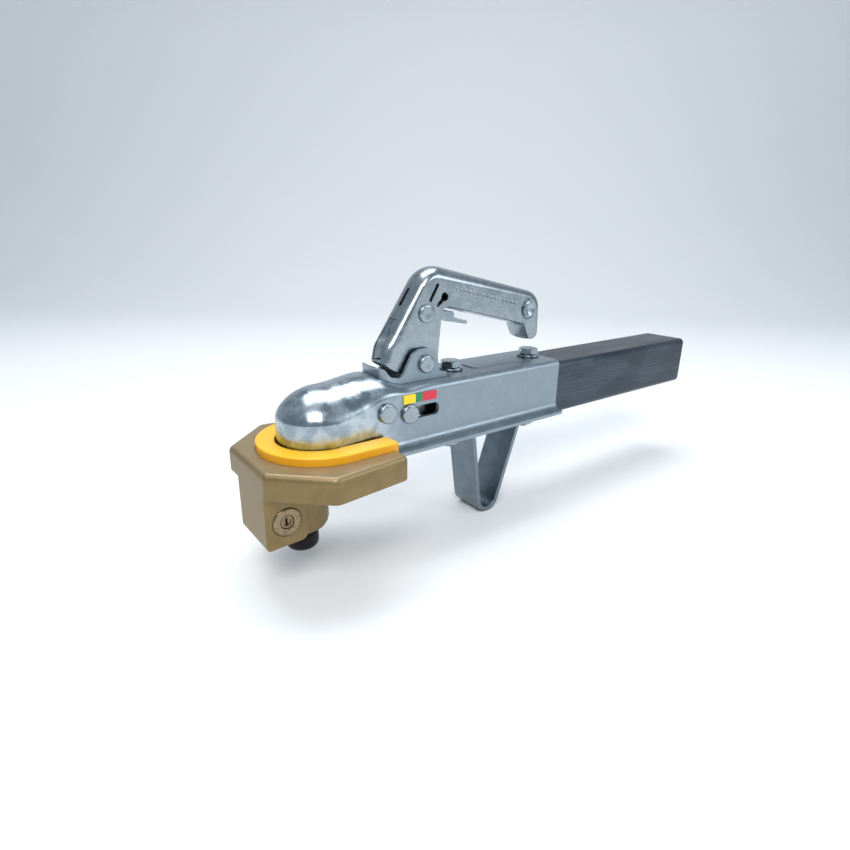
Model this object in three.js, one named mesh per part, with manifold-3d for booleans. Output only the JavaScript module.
// A key-operated anti-theft lock closed under a pressed-steel trailer coupling head, which is bolted
// to a square drawbar with a strip-steel support stand. Millimetres, +Z up. The origin is the centre of
// the head's ball seat, +X runs back along the drawbar and -Y is the side that the key goes in from.

import * as THREE from "three";
import { mergeVertices } from "three/addons/utils/BufferGeometryUtils.js";
import Module from "manifold-3d";

const wasm = await Module();
wasm.setup();

// ---- Driving dimensions ----

const GAP = 0.3; // clearance between neighbouring pieces
const SIDES = 24; // facets round a full circle

const BALL_RADIUS = 24.8; // dummy ball, a shade under the 50 mm tow ball

const TUBE = 60; // drawbar, outside width and height
const TUBE_WALL = 4;
const TUBE_FRONT = 133;
const TUBE_REAR = 545;

const SHEET = 4; // pressed steel of the coupling head
const NOSE_HALF = 36; // half width of the nose
const NOSE_REACH = NOSE_HALF + 1.8; // how far the nose stands in front of the ball centre
const CHANNEL_HALF = TUBE / 2 + SHEET + GAP;
const CHANNEL_TOP = 23.5;
const CHANNEL_REAR = 276;
const CROWN_NOSE = 29.5; // height of the head above the ball centre
const CROWN_RISE = 4.5; // further rise towards the handle
const RIM_BOTTOM = -27.5;
const LIP = { front: 54, start: -24, bend: 9, turn: THREE.MathUtils.degToRad(75), run: 6 };

const CLAW_PIVOT = { x: 48.3, z: 4 };
const PIN_RADIUS = 5;
const HEAD_RADIUS = 9; // rivet heads
const HEAD_HEIGHT = 3.7;
const INDICATOR = { x: 72.4, z: -0.6 };
const INDICATOR_TRAVEL = 28;
const SLOT_HALF = PIN_RADIUS + 0.9; // half height of the indicator slot

const HANDLE_PIVOT = { x: 101, z: 39 };
const HANDLE_HALF = 14;
const HANDLE_SHEET = 2.5;
const TRIGGER_PIN = { x: 105.5, z: 84 };
const TRIGGER_PIN_RADIUS = 4;
const END_RIVET = { x: 242, z: 79 };
const EAR_INNER = 17;
const EAR_SHEET = 3.5;
const OPENING = { front: 56, rear: 122, half: 15.5 }; // hole in the head that the handle dips into

const CLAMP_BOLTS = { front: 148, rear: 262 };
const BOLT_RADIUS = 6;
const BOLT_FLATS = 19;

const STAND_STRIP = 5;
const STAND_HALF = 20;

const GUARD_TOP = -15.9;
const GUARD_INNER = { x: NOSE_REACH + 1.7, y: Math.max(NOSE_HALF, CHANNEL_HALF) + 1 };
const GUARD_OUTER = GUARD_INNER.y + 18.4;
const PLATE_TOP = -22.8; // lock casting
const PLATE_BOTTOM = -45.8;
const PLATE_FRONT = -GUARD_OUTER - 13.6;
const PLATE_REAR = 46.4;
const FLOOR = -40.3; // bottom of the pocket in the casting
const BLOCK = { rear: PLATE_FRONT + 36, near: -35, far: 20, bottom: -93 };
const BARREL = { x: PLATE_FRONT + 18.5, z: -70.5, radius: 12.5, front: BLOCK.near - 1.2, back: -11 };
const PLUG_RADIUS = 5.5;
const CRANK = 5.66; // eccentric of the pin that the key turns
const BOLT_TRAVEL = 8;
const BOLT_SLIDE = { front: BARREL.x - 1.5, shoulder: BARREL.x + 9.5, half: 4, rise: 11 };
const CAM_REACH = 10.2; // from the spindle's axis to the tip of its cam lobe
const SPINDLE = { x: CAM_REACH + 2 * GAP + SHEET - NOSE_REACH, radius: 8, neck: 5 };
const BOSS = { radius: 25, bottom: -98 };
const CAP = { radius: 15, bottom: -119 };
const STUD_RADIUS = 8;
const PEDESTAL = { radius: 17, bottom: -62 };

// ---- Solids ----

const X = new THREE.Vector3(1, 0, 0);
const Y = new THREE.Vector3(0, 1, 0);
const Z = new THREE.Vector3(0, 0, 1);
const MINUS_Y = new THREE.Vector3(0, -1, 0);

// Where a drawing's own x, y and z go when it is extruded along an axis of the part.
const FRAMES = { x: [Y, Z, X], y: [X, Z, MINUS_Y], z: [X, Y, Z] };
const SIGN = { x: 1, y: -1, z: 1 };

function stand(geometry, axis) {
  return geometry.applyMatrix4(new THREE.Matrix4().makeBasis(...FRAMES[axis]));
}

// A closed three.js geometry as a solid that can be joined and cut.
function toSolid(geometry) {
  const bare = geometry.clone();
  bare.deleteAttribute("normal");
  bare.deleteAttribute("uv");
  const merged = mergeVertices(bare, 1e-4);
  const corners = merged.index.array;
  const kept = [];
  for (let i = 0; i < corners.length; i += 3) {
    const [a, b, c] = corners.slice(i, i + 3);
    if (a !== b && b !== c && c !== a) kept.push(a, b, c);
  }
  const build = (triangles) =>
    new wasm.Manifold(
      new wasm.Mesh({
        numProp: 3,
        vertProperties: new Float32Array(merged.attributes.position.array),
        triVerts: new Uint32Array(triangles),
      }),
    );
  const made = build(kept);
  return made.volume() < 0 ? build(kept.reverse()) : made;
}

function toGeometry(solid) {
  const mesh = solid.getMesh();
  const vertices = new Float32Array(mesh.numVert * 3);
  for (let i = 0; i < mesh.numVert; i++) {
    const from = i * mesh.numProp;
    vertices.set(mesh.vertProperties.subarray(from, from + 3), i * 3);
  }
  const geometry = new THREE.BufferGeometry();
  geometry.setAttribute("position", new THREE.BufferAttribute(vertices, 3));
  geometry.setIndex(new THREE.BufferAttribute(mesh.triVerts, 1));
  geometry.computeVertexNormals();
  return geometry;
}

const join = (...solids) => solids.reduce((all, next) => all.add(next));
const cut = (solid, ...tools) => tools.reduce((left, tool) => left.subtract(tool), solid);

// A closed outline from corners [a, b, radius], each rounded by an arc of a few steps.
function outline(corners, steps = 4) {
  const points = [];
  corners.forEach(([a, b, radius], i) => {
    const corner = new THREE.Vector2(a, b);
    const before = new THREE.Vector2(...corners.at(i - 1)).sub(corner).normalize();
    const after = new THREE.Vector2(...corners[(i + 1) % corners.length]).sub(corner).normalize();
    if (!radius) {
      points.push(corner);
      return;
    }
    const half = Math.acos(THREE.MathUtils.clamp(before.dot(after), -1, 1)) / 2;
    const centre = before.clone().add(after).normalize();
    centre.multiplyScalar(radius / Math.sin(half)).add(corner);
    const start = before.clone().multiplyScalar(radius / Math.tan(half)).add(corner).sub(centre);
    const end = after.clone().multiplyScalar(radius / Math.tan(half)).add(corner).sub(centre);
    const turn = Math.atan2(start.cross(end), start.dot(end));
    for (let k = 0; k <= steps; k++) {
      points.push(start.clone().rotateAround(new THREE.Vector2(), (turn * k) / steps).add(centre));
    }
  });
  return points;
}

// The same outline moved inwards by a distance; the points run anticlockwise or clockwise.
function inset(points, distance) {
  const inwards = THREE.ShapeUtils.area(points) > 0 ? distance : -distance;
  return points.map((point, i) => {
    const before = point.clone().sub(points.at(i - 1)).normalize();
    const after = points[(i + 1) % points.length].clone().sub(point).normalize();
    const along = before.add(after).normalize();
    const spread = Math.max(0.5, Math.abs(along.dot(after)));
    return new THREE.Vector2(-along.y, along.x).multiplyScalar(inwards / spread).add(point);
  });
}

// The outline of a strip of constant thickness along an open line of points.
function strip(line, thickness) {
  const side = (offset) =>
    line.map((point, i) => {
      const ahead = line[Math.min(i + 1, line.length - 1)];
      const behind = line[Math.max(i - 1, 0)];
      const along = ahead.clone().sub(behind).normalize();
      return new THREE.Vector2(-along.y, along.x).multiplyScalar(offset).add(point);
    });
  return [...side(thickness / 2), ...side(-thickness / 2).reverse()];
}

// A flat outline, with any holes, extruded between two levels of an axis.
function plate(points, from, to, axis, holes = []) {
  const shape = new THREE.Shape(points);
  holes.forEach((hole) => shape.holes.push(new THREE.Path(hole)));
  const depth = to - from;
  const geometry = new THREE.ExtrudeGeometry(shape, { depth, bevelEnabled: false });
  geometry.translate(0, 0, axis === "y" ? -to : from);
  return toSolid(stand(geometry, axis));
}

// A closed solid through outlines of equal numbers of points, each at its own level of an axis.
function loft(sections, axis) {
  const count = sections[0].points.length;
  const vertices = sections.flatMap(({ at, points }) =>
    points.flatMap((point) => [point.x, point.y, at * SIGN[axis]]),
  );
  const faces = [];
  for (let ring = 0; ring < sections.length - 1; ring++) {
    for (let i = 0; i < count; i++) {
      const a = ring * count + i;
      const b = ring * count + ((i + 1) % count);
      faces.push(a, b, b + count, a, b + count, a + count);
    }
  }
  const last = (sections.length - 1) * count;
  const start = THREE.ShapeUtils.triangulateShape(sections[0].points, []);
  const end = THREE.ShapeUtils.triangulateShape(sections.at(-1).points, []);
  const wind = THREE.ShapeUtils.area(sections[0].points) > 0 ? 1 : -1;
  const capped = (triangles, offset, turned) =>
    triangles.forEach(([a, b, c]) => {
      faces.push(a + offset, (turned ? c : b) + offset, (turned ? b : c) + offset);
    });
  capped(start, 0, wind > 0);
  capped(end, last, wind < 0);
  const geometry = new THREE.BufferGeometry();
  geometry.setAttribute("position", new THREE.Float32BufferAttribute(vertices, 3));
  geometry.setIndex(faces);
  return toSolid(stand(geometry, axis));
}

// A profile of [radius, height] spun about an axis through a point; heights run along the axis.
function turned(profile, axis, at, sides = SIDES) {
  const points = profile.map(([radius, height]) => new THREE.Vector2(radius, height));
  const geometry = new THREE.LatheGeometry(points, sides);
  if (axis === "z") geometry.rotateX(Math.PI / 2);
  if (axis === "x") geometry.rotateZ(-Math.PI / 2);
  geometry.translate(at.x ?? 0, at.y ?? 0, at.z ?? 0);
  return toSolid(geometry);
}

const rod = (radius, from, to, axis, at, sides = SIDES) =>
  turned([[0, from], [radius, from], [radius, to], [0, to]], axis, at, sides);

function box(x0, x1, y0, y1, z0, z1) {
  const geometry = new THREE.BoxGeometry(x1 - x0, y1 - y0, z1 - z0);
  geometry.translate((x0 + x1) / 2, (y0 + y1) / 2, (z0 + z1) / 2);
  return toSolid(geometry);
}

// A hexagon across its flats, extruded up Z.
function hexagon(flats, x, from, to) {
  const corner = flats / 2 / Math.cos(Math.PI / 6);
  const points = [0, 1, 2, 3, 4, 5].map(
    (i) => new THREE.Vector2(corner, 0).rotateAround(new THREE.Vector2(), (i * Math.PI) / 3),
  );
  points.forEach((point) => point.setX(point.x + x));
  return plate(points, from, to, "z");
}

// The upright holes that the two clamp bolts pass through.
const clampHoles = (from, to) =>
  Object.values(CLAMP_BOLTS).map((x) => rod(BOLT_RADIUS + GAP, from, to, "z", { x }));

const ramp = (x, from, to) => THREE.MathUtils.smoothstep(x, from, to);

// ---- The pressed coupling head ----

const STATIONS = [0, 8, 16, 24, 32, 40, 46, 52, 58, 64, 70, 76, 88, 100, 112, CHANNEL_REAR];
const CROWN_STEPS = 7;
const FLAT_HALF = 3; // half width of the flat along the ridge of the nose

// Half the cross-section at x, from the rim up and over to the ridge, moved outwards by grow.
function headProfile(x, grow, bottom) {
  const half = NOSE_HALF - (NOSE_HALF - CHANNEL_HALF) * ramp(x, 5, 40) + grow;
  const fall = CROWN_NOSE + CROWN_RISE - CHANNEL_TOP;
  const top = CROWN_NOSE + CROWN_RISE * ramp(x, 0, 40) - fall * ramp(x, 44, 76) + grow;
  const shoulder = 2 + 15.5 * ramp(x, -15, 62);
  const run = NOSE_HALF - FLAT_HALF - (NOSE_HALF - FLAT_HALF - 6) * ramp(x, 45, 100) + grow;
  const slope = 1.25 - 0.25 * ramp(x, 20, 60);
  const points = [[half, bottom]];
  for (let k = 0; k <= CROWN_STEPS; k++) {
    const angle = (k / CROWN_STEPS) * (Math.PI / 2);
    const across = k === CROWN_STEPS ? 0 : Math.cos(angle) ** slope;
    const rise = Math.sin(angle) ** slope;
    points.push([half - run * (1 - across), shoulder + (top - shoulder) * rise]);
  }
  return points;
}

function headSection(x, grow, bottom) {
  const right = headProfile(x, grow, bottom).map(([y, z]) => new THREE.Vector2(y, z));
  const left = right.map((point) => new THREE.Vector2(-point.x, point.y)).reverse();
  return [...right, ...left];
}

// The whole head as one lump: a domed nose turned about the ball and a body drawn out behind it.
function headLump(grow, bottom, rear) {
  const body = loft(
    [...STATIONS.slice(0, -1), rear].map((x) => ({ at: x, points: headSection(x, grow, bottom) })),
    "x",
  );
  const profile = headProfile(0, grow, bottom);
  const spun = [[0, bottom], ...profile, [0, profile.at(-1)[1]]];
  const stretch = (NOSE_REACH + grow) / (NOSE_HALF + grow);
  const geometry = new THREE.LatheGeometry(spun.map(([r, z]) => new THREE.Vector2(r, z)), 40);
  geometry.rotateX(Math.PI / 2).scale(stretch, 1, 1);
  return join(toSolid(geometry), body);
}

// The flared skirt along each side of the channel: it bends outwards through LIP.turn and runs on.
function lip(side) {
  const middle = CHANNEL_HALF - SHEET / 2;
  const line = [new THREE.Vector2(middle, LIP.start + LIP.run)];
  const steps = 5;
  for (let k = 0; k <= steps; k++) {
    const angle = (k / steps) * LIP.turn;
    const out = middle + LIP.bend * (1 - Math.cos(angle));
    line.push(new THREE.Vector2(out, LIP.start - LIP.bend * Math.sin(angle)));
  }
  const onwards = new THREE.Vector2(Math.sin(LIP.turn), -Math.cos(LIP.turn));
  line.push(onwards.multiplyScalar(LIP.run).add(line.at(-1)));
  line.forEach((point) => point.setX(side * point.x));
  return plate(strip(line, SHEET), LIP.front, CHANNEL_REAR, "x");
}

function couplingHead() {
  const inside = headLump(-SHEET, RIM_BOTTOM - 1, CHANNEL_REAR + 1);
  const shell = cut(headLump(0, RIM_BOTTOM, CHANNEL_REAR), inside);
  const panel = plate(
    outline([[170, -12, 4], [244, -12, 4], [244, 12, 4], [170, 12, 4]]),
    CHANNEL_TOP - 1,
    CHANNEL_TOP + 1,
    "z",
  );
  const across = CHANNEL_HALF + 2;
  const slotFront = INDICATOR.x - PIN_RADIUS - 1;
  const slotRear = INDICATOR.x + INDICATOR_TRAVEL + PIN_RADIUS + 1;
  const slot = plate(
    outline([
      [slotFront, INDICATOR.z - SLOT_HALF, 4],
      [slotRear, INDICATOR.z - SLOT_HALF, 4],
      [slotRear, INDICATOR.z + SLOT_HALF, 4],
      [slotFront, INDICATOR.z + SLOT_HALF, 4],
    ]),
    -across,
    across,
    "y",
  );
  const { front, rear, half } = OPENING;
  const mouth = plate(
    outline([[front, -half, 3], [rear, -half, 8], [rear, half, 8], [front, half, 3]]),
    CHANNEL_TOP - 6,
    CROWN_NOSE + 10,
    "z",
  );
  const boltHoles = clampHoles(CHANNEL_TOP - SHEET - 1, CHANNEL_TOP + 3);
  return cut(
    join(shell, lip(1), lip(-1), panel),
    slot,
    mouth,
    rod(PIN_RADIUS + GAP, -across, across, "y", CLAW_PIVOT),
    ...boltHoles,
  );
}

// The upturned collar that carries the handle: two eared cheeks joined round the front.
function handleBracket() {
  const front = OPENING.front - 5;
  const middle = EAR_INNER + EAR_SHEET / 2;
  const wall = front + EAR_SHEET / 2;
  const path = outline([[127, -middle, 0], [wall, -middle, 9], [wall, middle, 9], [127, middle, 0]], 5);
  const cheek = outline([
    [front - 1, 20, 0],
    [front - 1, 40.5, 0],
    [front + 5, 40.5, 3],
    [62, 31, 6],
    [74, 29, 6],
    [88, HANDLE_PIVOT.z + 14, 12],
    [HANDLE_PIVOT.x + 13, HANDLE_PIVOT.z + 14, 12],
    [117, 30, 5],
    [128, 28, 3],
    [128, 20, 0],
  ]);
  const outer = EAR_INNER + EAR_SHEET + 1;
  const collar = plate(strip(path, EAR_SHEET), 18, HANDLE_PIVOT.z + 16, "z");
  return cut(
    collar.intersect(plate(cheek, -outer, outer, "y")),
    headLump(GAP, RIM_BOTTOM, CHANNEL_REAR),
    rod(PIN_RADIUS + GAP, -outer, outer, "y", HANDLE_PIVOT),
  );
}

// A rivet across the head: a shank with a low chamfered button at each end.
function rivet(at, shank, face, head, height) {
  const half = [[0, -face - height], [head - 1, -face - height], [head, -face - height + 1], [head, -face]];
  const near = [...half, [shank, -face]];
  const far = near.map(([radius, along]) => [radius, -along]).reverse();
  return turned([...near, ...far], "y", at);
}

function wearLabel() {
  const points = outline([[65.5, 9, 1], [103, 9, 1], [103, 17.2, 1], [65.5, 17.2, 1]], 2);
  return plate(points, -CHANNEL_HALF - GAP - 0.5, -CHANNEL_HALF - GAP, "y");
}

// ---- Drawbar, clamp bolts and stand ----

const TUBE_TOP = CHANNEL_TOP - SHEET - GAP;
const TUBE_MIDDLE = TUBE_TOP - TUBE / 2;

function squareOutline(half, radius) {
  return outline([
    [-half, TUBE_MIDDLE - half, radius],
    [half, TUBE_MIDDLE - half, radius],
    [half, TUBE_MIDDLE + half, radius],
    [-half, TUBE_MIDDLE + half, radius],
  ]);
}

function drawbarTube() {
  const bore = squareOutline(TUBE / 2 - TUBE_WALL, 2.5);
  const tube = plate(squareOutline(TUBE / 2, 6), TUBE_FRONT, TUBE_REAR, "x", [bore]);
  return cut(tube, ...clampHoles(TUBE_TOP - TUBE - 1, TUBE_TOP + 1));
}

const STAND_TOP = TUBE_TOP - TUBE - GAP;
const NUT_TOP = STAND_TOP - STAND_STRIP - GAP;
const NUT_HEIGHT = 9.5;
const WASHER = { radius: 12.5, thickness: 2.5 };

function supportStand() {
  const middle = STAND_TOP - STAND_STRIP / 2;
  const corners = [
    [CLAMP_BOLTS.front - 20, middle, 0],
    [166.5, middle, 8],
    [187.3, -183.8, 13.5],
    [234.1, middle, 8],
    [CLAMP_BOLTS.rear + 20, middle, 0],
  ];
  const band = strip(outline(corners, 6), STAND_STRIP);
  const bent = plate(band, -STAND_HALF, STAND_HALF, "y");
  return cut(bent, ...clampHoles(STAND_TOP - STAND_STRIP - 1, STAND_TOP + 1));
}

function clampBolt(x) {
  const seat = CHANNEL_TOP + 2 * GAP + WASHER.thickness;
  const shank = rod(BOLT_RADIUS, NUT_TOP - NUT_HEIGHT - 3, seat + 1, "z", { x });
  return join(shank, hexagon(BOLT_FLATS, x, seat, seat + 6.5));
}

function clampWasher(x) {
  const from = CHANNEL_TOP + GAP;
  const disc = rod(WASHER.radius, from, from + WASHER.thickness, "z", { x });
  return cut(disc, rod(BOLT_RADIUS + GAP, from - 1, from + WASHER.thickness + 1, "z", { x }));
}

function clampNut(x) {
  const nut = hexagon(BOLT_FLATS, x, NUT_TOP - NUT_HEIGHT, NUT_TOP);
  return cut(nut, rod(BOLT_RADIUS + GAP, NUT_TOP - NUT_HEIGHT - 1, NUT_TOP + 1, "z", { x }));
}

// The spring that draws the yoke forward: a round wire wound about the line of pull.
class Helix extends THREE.Curve {
  constructor(from, to, radius, turns, z) {
    super();
    Object.assign(this, { from, to, radius, turns, z });
  }
  getPoint(t) {
    const angle = t * this.turns * 2 * Math.PI;
    const x = this.from + (this.to - this.from) * t;
    return new THREE.Vector3(x, this.radius * Math.cos(angle), this.z + this.radius * Math.sin(angle));
  }
}

const YOKE = { front: INDICATOR.x - 9.4, rear: 103, inner: 16.5, outer: 19.5, half: PIN_RADIUS + 2 };

function closingSpring() {
  const wire = 1.4;
  const from = YOKE.rear + GAP + wire;
  const to = CLAMP_BOLTS.front - BOLT_RADIUS - GAP - wire;
  const section = new THREE.Shape();
  section.absarc(0, 0, wire, 0, 2 * Math.PI);
  const path = new Helix(from, to, 6, 5, INDICATOR.z);
  const geometry = new THREE.ExtrudeGeometry(section, { steps: 60, curveSegments: 3, extrudePath: path });
  return toSolid(geometry);
}

// ---- Handle, trigger, claw and draw yoke ----

const SPINE = outline([
  [58.5, 40, 4],
  [61, 56, 20],
  [111, 128, 26],
  [266, 93.6, 20],
  [263, 44, 9],
  [243, 46, 8],
  [238, 62, 4],
  [124.5, 88.5, 8],
  [119, 26, 10],
]);
const FACE = outline([
  [72, 30, 8],
  [86, 62, 25],
  [107, 117, 16],
  [252, 88.5, 14],
  [258, 46, 6],
  [246, 48, 5],
  [237, 64.5, 4],
  [124.5, 91.5, 9],
  [119, 27, 10],
]);

// How round the handle's edge is at a point of its outline: squarer down the front of the leg.
const roundness = (point) => (point.x < 95 ? 0.25 + 0.75 * ramp(point.y, 48, 88) : 1);

// One pressed half of the handle as a lump, from a level near the seam out to its flat face.
function handleLump(shrink, seam, side) {
  const spine = inset(SPINE, shrink);
  const face = inset(FACE, shrink);
  const depth = HANDLE_HALF - shrink;
  const steps = 5;
  const sections = [];
  for (let k = 0; k <= steps; k++) {
    const angle = (k / steps) * (Math.PI / 2);
    const points = face.map((point, i) => {
      const share = k === steps ? 0 : Math.cos(angle) ** roundness(spine[i]);
      return point.clone().lerp(spine[i], share);
    });
    sections.push({ at: side * Math.max(seam, depth * Math.sin(angle)), points });
  }
  if (seam < 0) sections[0].at = side * seam;
  return loft(sections, "y");
}

function handleHalf(side) {
  const tray = cut(handleLump(0, GAP / 2, side), handleLump(HANDLE_SHEET, -1, side));
  const foot = box(66, 113, -9, 9, 20, 37);
  const throat = box(116, 160, -8, 8, 60, 92.5);
  const nose = box(50, 84, -6, 6, 44, 80);
  const spineSlot = box(84, 101, -2, 2, 91, 106);
  const slant = plate(
    outline([[108, 95, 1.4], [111, 93.5, 1.4], [120.5, 109.5, 1.4], [117.5, 111, 1.4]], 2),
    -20,
    20,
    "y",
  );
  const keyhole = join(
    rod(4.2, -20, 20, "y", { x: 127, z: 98 }, 20),
    plate(outline([[116, 90, 1.5], [119, 88.5, 1.5], [127, 95, 0], [124, 98, 0]], 2), -20, 20, "y"),
  );
  const bores = [
    rod(PIN_RADIUS + GAP, -20, 20, "y", HANDLE_PIVOT),
    rod(TRIGGER_PIN_RADIUS + GAP, -20, 20, "y", TRIGGER_PIN),
    rod(TRIGGER_PIN_RADIUS + GAP, -20, 20, "y", END_RIVET),
  ];
  const faceCuts = side < 0 ? [slant, keyhole] : [];
  return cut(tray, foot, throat, nose, spineSlot, ...faceCuts, ...bores);
}

// The rivet at the end of the grip, with a shallow dish in each head.
function endRivet() {
  const face = HANDLE_HALF + GAP;
  const near = [[0, -face - 0.4], [4, -face - 0.4], [7, -face - 2], [8.5, -face - 1.4], [8.5, -face]];
  const half = [...near, [TRIGGER_PIN_RADIUS, -face]];
  const far = half.map(([radius, along]) => [radius, -along]).reverse();
  return turned([...half, ...far], "y", END_RIVET);
}

function triggerLever() {
  const points = outline([
    [97, 78, 3],
    [99, 91, 4],
    [118, 91, 4],
    [132, 84, 3],
    [148, 83, 3],
    [147, 76.5, 1.5],
    [164, 71.6, 1.2],
    [163, 68.6, 1.2],
    [143, 72.5, 4],
    [134, 74, 3],
    [124, 80, 4],
  ]);
  return cut(plate(points, -5.5, 5.5, "y"), rod(TRIGGER_PIN_RADIUS + GAP, -10, 10, "y", TRIGGER_PIN));
}

// The claw that closes under the ball from behind.
function ballClaw() {
  const points = outline([
    [18, -22, 2],
    [56, -22, 5],
    [58, 6, 6],
    [52, 12.5, 5],
    [34, 12.5, 4],
    [27, 2, 3],
    [18, 0, 0],
  ]);
  const seat = BALL_RADIUS + 2 * GAP;
  return cut(
    plate(points, -15, 15, "y"),
    toSolid(new THREE.SphereGeometry(seat, SIDES, SIDES / 2)),
    rod(seat, -40, 0, "z", {}),
    rod(PIN_RADIUS + GAP, -20, 20, "y", CLAW_PIVOT),
  );
}

function drawYoke() {
  const { front, rear, inner, outer, half } = YOKE;
  const frame = plate(
    outline([
      [front, -outer, 0],
      [rear, -outer, 3],
      [rear, outer, 3],
      [front, outer, 0],
      [front, inner, 0],
      [rear - 4, inner, 0],
      [rear - 4, -inner, 0],
      [front, -inner, 0],
    ]),
    INDICATOR.z - half,
    INDICATOR.z + half,
    "z",
  );
  return cut(frame, rod(PIN_RADIUS + GAP, -outer - 1, outer + 1, "y", INDICATOR));
}

// ---- The lock ----

const PLAN = outline([
  [PLATE_FRONT, -38, 5],
  [-25.9, -GUARD_OUTER - 23.1, 9],
  [PLATE_REAR, -GUARD_OUTER - 15.2, 5],
  [PLATE_REAR, GUARD_OUTER + 15.2, 5],
  [-25.9, GUARD_OUTER + 23.1, 9],
  [PLATE_FRONT, 38, 5],
]);

// The pocket and guard in plan: a half ellipse round the nose with straight legs running back.
function uShape(reach, half, rear, flare = 0) {
  const points = [new THREE.Vector2(rear, half)];
  const steps = 20;
  for (let k = 0; k <= steps; k++) {
    const angle = Math.PI / 2 + (k / steps) * Math.PI;
    points.push(new THREE.Vector2(reach * Math.cos(angle), half * Math.sin(angle)));
  }
  points.push(new THREE.Vector2(rear, -half));
  points[0].x += flare;
  points.at(-1).x += flare;
  return points;
}

const BEVEL = { width: 4.5, height: 6 };

function lockCasting() {
  const rounded = [0, 30, 60, 90].map((degrees) => {
    const angle = THREE.MathUtils.degToRad(degrees);
    const points = inset(PLAN, BEVEL.width * (1 - Math.cos(angle)));
    return { at: PLATE_TOP - BEVEL.height * (1 - Math.sin(angle)), points };
  });
  const body = loft([{ at: PLATE_BOTTOM, points: PLAN }, ...rounded], "z");
  const block = plate(
    outline([
      [PLATE_FRONT, PLATE_BOTTOM + 2, 0],
      [BLOCK.rear, PLATE_BOTTOM + 2, 0],
      [BLOCK.rear, BLOCK.bottom + 2, 6],
      [PLATE_FRONT, BLOCK.bottom, 3],
    ]),
    BLOCK.near,
    BLOCK.far,
    "y",
  );
  const top = PLATE_BOTTOM + 2;
  const boss = turned(
    [[0, BOSS.bottom], [BOSS.radius - 8, BOSS.bottom], [BOSS.radius - 3, BOSS.bottom + 2.4],
      [BOSS.radius, BOSS.bottom + 9], [BOSS.radius, top], [0, top]],
    "z",
    { x: SPINDLE.x },
    40,
  );
  const pedestal = rod(PEDESTAL.radius, PEDESTAL.bottom, top, "z", {});
  const reach = GUARD_OUTER + GAP;
  const pocket = plate(uShape(reach, reach, PLATE_REAR + 5), FLOOR, PLATE_TOP + 5, "z");
  const chamberFront = BOLT_SLIDE.front - BOLT_TRAVEL - 1;
  const side = BOLT_SLIDE.half + GAP;
  const chamberTop = BARREL.z + BOLT_SLIDE.rise + GAP;
  const chamber = box(chamberFront, SPINDLE.x - 4, -side, side, BARREL.z - 5, chamberTop);
  return cut(
    join(body, block, boss, pedestal),
    pocket,
    rod(STUD_RADIUS + GAP, PEDESTAL.bottom + 3, FLOOR + 1, "z", {}),
    rod(3 + GAP, -PEDESTAL.radius - 1, PEDESTAL.radius + 1, "y", { z: -53 }, 16),
    rod(SPINDLE.radius + GAP, BOSS.bottom - 1, FLOOR + 1, "z", { x: SPINDLE.x }),
    rod(BARREL.radius + GAP, BLOCK.near - 1, 0, "y", BARREL),
    chamber,
  );
}

// The guard that closes round the nose.
function guardRing() {
  const outer = uShape(GUARD_OUTER, GUARD_OUTER, 46.5);
  const sections = [
    { at: FLOOR + GAP, points: outer },
    { at: GUARD_TOP - 3, points: outer },
    { at: GUARD_TOP - 0.8, points: inset(outer, 0.9) },
    { at: GUARD_TOP, points: inset(outer, 2.6) },
  ];
  const hollow = uShape(GUARD_INNER.x, GUARD_INNER.y, 60);
  return cut(loft(sections, "z"), plate(hollow, FLOOR - 1, GUARD_TOP + 1, "z"));
}

// Ball, neck, flange and stud of the dummy ball, turned in one piece.
function dummyBall() {
  const neck = 10;
  const meets = -Math.sqrt(BALL_RADIUS ** 2 - neck ** 2);
  const profile = [
    [0, PEDESTAL.bottom + 4],
    [STUD_RADIUS, PEDESTAL.bottom + 4],
    [STUD_RADIUS, FLOOR + GAP],
    [13, FLOOR + GAP],
    [13, FLOOR + 4],
    [neck, FLOOR + 6],
  ];
  const start = Math.atan2(meets, neck);
  for (let k = 0; k <= 12; k++) {
    const angle = start + (k / 12) * (Math.PI / 2 - start);
    profile.push([k === 12 ? 0 : BALL_RADIUS * Math.cos(angle), BALL_RADIUS * Math.sin(angle)]);
  }
  return cut(turned(profile, "z", {}), rod(3 + GAP, -20, 20, "y", { z: -53 }, 16));
}

const crossPin = () => rod(3, 1 - PEDESTAL.radius, PEDESTAL.radius - 1, "y", { z: -53 }, 16);

function lockBarrel() {
  const { radius, front, back } = BARREL;
  const bore = PLUG_RADIUS + GAP;
  const profile = [[bore, front + 1], [radius - 3, front], [radius - 1, front + 0.4], [radius, front + 1.4],
    [radius, back], [bore, back], [bore, front + 1]];
  return turned(profile, "y", BARREL);
}

// The keyed plug, with a crank pin on its tail that works the bolt.
function keyPlug() {
  const { x, z, front, back } = BARREL;
  const face = front + 1.2;
  const plug = turned(
    [[0, face], [PLUG_RADIUS, face], [PLUG_RADIUS, back + GAP], [8.5, back + GAP], [8.5, -5], [0, -5]],
    "y",
    BARREL,
  );
  const eccentric = CRANK * Math.SQRT1_2;
  const pin = rod(2, -6, 3.4, "y", { x: x + eccentric, z: z + eccentric }, 16);
  return cut(
    join(plug, pin),
    rod(3.6, face - 1, face + 1.2, "y", BARREL, 20),
    box(x - 0.9, x + 0.9, face - 1, face + 9, z - 3.2, z + 3.2),
  );
}

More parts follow.
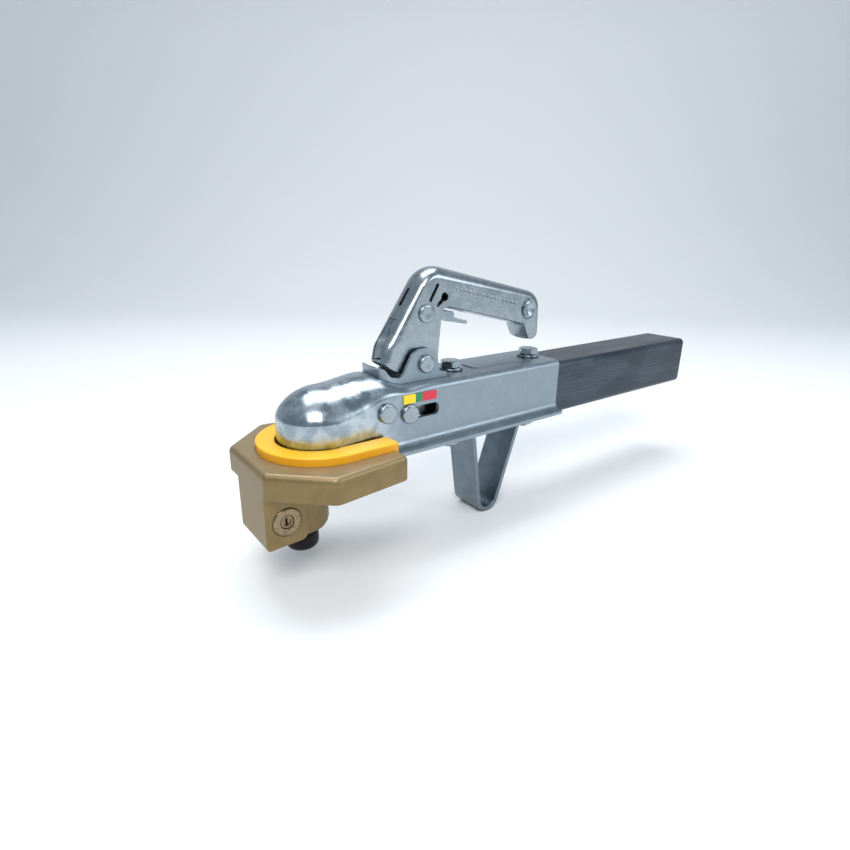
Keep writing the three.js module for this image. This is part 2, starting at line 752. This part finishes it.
function lockBolt() {
  const { x, z } = BARREL;
  const pinX = x + CRANK * Math.SQRT1_2;
  const tip = SPINDLE.x - SPINDLE.neck - 0.4;
  const { front, shoulder, half, rise } = BOLT_SLIDE;
  const bar = box(shoulder - 2, tip, -half, half, z - 3.5, z + 3.5);
  const slide = box(front, shoulder, -half, half, z - 3.5, z + rise);
  return cut(join(bar, slide), box(pinX - 2.6, pinX + 2.6, -half - 1, half + 1, z + 1.3, z + 8.5));
}

// The upright spindle: a cam lobe that bears on the inside of the nose, and a neck for the bolt.
function camSpindle() {
  const { x, radius, neck } = SPINDLE;
  const profile = [
    [0, BOSS.bottom - 8],
    [6, BOSS.bottom - 8],
    [6, BOSS.bottom],
    [radius, BOSS.bottom],
    [radius, BARREL.z - 5],
    [neck, BARREL.z - 5],
    [neck, BARREL.z + 5],
    [radius, BARREL.z + 5],
    [radius, FLOOR + GAP],
    [6.5, FLOOR + GAP],
    [6.5, FLOOR + 4.3],
    [0, FLOOR + 4.3],
  ];
  const lobe = outline([
    [x - CAM_REACH, -6, 5],
    [x + 6.4, -6, 5],
    [x + 6.4, 6, 5],
    [x - CAM_REACH, 6, 5],
  ]);
  return join(turned(profile, "z", { x }), plate(lobe, FLOOR + 4, -24, "z"));
}

function footCap() {
  const { radius, bottom } = CAP;
  const top = BOSS.bottom - 2 * GAP;
  const profile = [[0, bottom], [radius - 7, bottom]];
  for (let k = 1; k <= 4; k++) {
    const angle = (k / 4) * (Math.PI / 2);
    profile.push([radius - 7 + 7 * Math.sin(angle), bottom + 7 * (1 - Math.cos(angle))]);
  }
  profile.push([radius, top], [0, top]);
  const at = { x: SPINDLE.x };
  return cut(turned(profile, "z", at), rod(6 + GAP, BOSS.bottom - 8 - GAP, top + 1, "z", at));
}

// ---- Materials and assembly ----

const steel = (colour, roughness) =>
  new THREE.MeshStandardMaterial({ color: colour, roughness, metalness: 1 });
const zinc = steel(0xb9c2c8, 0.25);
const brightZinc = steel(0xd2dadf, 0.12);
const dullZinc = steel(0x8f999f, 0.4);
const galvanised = steel(0x5b656d, 0.5);
const plainSteel = steel(0x9a9d9f, 0.35);
const bronze = new THREE.MeshStandardMaterial({ color: 0x7d6c4c, roughness: 0.45, metalness: 0.8 });
const yellowPlastic = new THREE.MeshStandardMaterial({ color: 0xf2b705, roughness: 0.35, metalness: 0 });
const blackPlastic = new THREE.MeshStandardMaterial({ color: 0x101114, roughness: 0.4, metalness: 0 });
const label = new THREE.MeshStandardMaterial({ color: 0x2e9a4a, roughness: 0.5, metalness: 0 });

function mesh(name, solid, material) {
  const made = new THREE.Mesh(toGeometry(solid), material);
  made.name = name;
  return made;
}

const drawbar = new THREE.Group();
drawbar.add(
  mesh("coupling_head", couplingHead(), brightZinc),
  mesh("handle_bracket", handleBracket(), brightZinc),
  mesh("claw_pivot_rivet", rivet(CLAW_PIVOT, PIN_RADIUS, CHANNEL_HALF + GAP, HEAD_RADIUS, HEAD_HEIGHT), zinc),
  mesh("handle_pivot_rivet", rivet(HANDLE_PIVOT, PIN_RADIUS, EAR_INNER + EAR_SHEET + GAP, 8.5, 3.7), zinc),
  mesh("wear_label", wearLabel(), label),
  mesh("drawbar_tube", drawbarTube(), galvanised),
  mesh("support_stand", supportStand(), dullZinc),
  mesh("closing_spring", closingSpring(), plainSteel),
);
Object.entries(CLAMP_BOLTS).forEach(([place, x]) => {
  drawbar.add(
    mesh(`clamp_bolt_${place}`, clampBolt(x), zinc),
    mesh(`clamp_washer_${place}`, clampWasher(x), zinc),
    mesh(`clamp_nut_${place}`, clampNut(x), zinc),
  );
});

const handle = new THREE.Group();
const triggerFace = HANDLE_HALF + GAP;
handle.add(
  mesh("handle_shell_near", handleHalf(-1), zinc),
  mesh("handle_shell_far", handleHalf(1), zinc),
  mesh("trigger_rivet", rivet(TRIGGER_PIN, TRIGGER_PIN_RADIUS, triggerFace, 8.5, 2.7), zinc),
  mesh("grip_end_rivet", endRivet(), zinc),
);

const mechanism = new THREE.Group();
mechanism.add(
  mesh("trigger_lever", triggerLever(), dullZinc),
  mesh("ball_claw", ballClaw(), plainSteel),
  mesh("indicator_pin", rivet(INDICATOR, PIN_RADIUS, CHANNEL_HALF + GAP, HEAD_RADIUS, HEAD_HEIGHT), zinc),
  mesh("draw_yoke", drawYoke(), plainSteel),
);

const lock = new THREE.Group();
lock.add(
  mesh("lock_casting", lockCasting(), bronze),
  mesh("guard_ring", guardRing(), yellowPlastic),
  mesh("dummy_ball", dummyBall(), plainSteel),
  mesh("ball_cross_pin", crossPin(), plainSteel),
  mesh("lock_barrel", lockBarrel(), bronze),
  mesh("key_plug", keyPlug(), bronze),
  mesh("lock_bolt", lockBolt(), plainSteel),
  mesh("cam_spindle", camSpindle(), plainSteel),
  mesh("foot_cap", footCap(), blackPlastic),
);

const group = new THREE.Group();
group.add(drawbar, handle, mechanism, lock);

export default group;
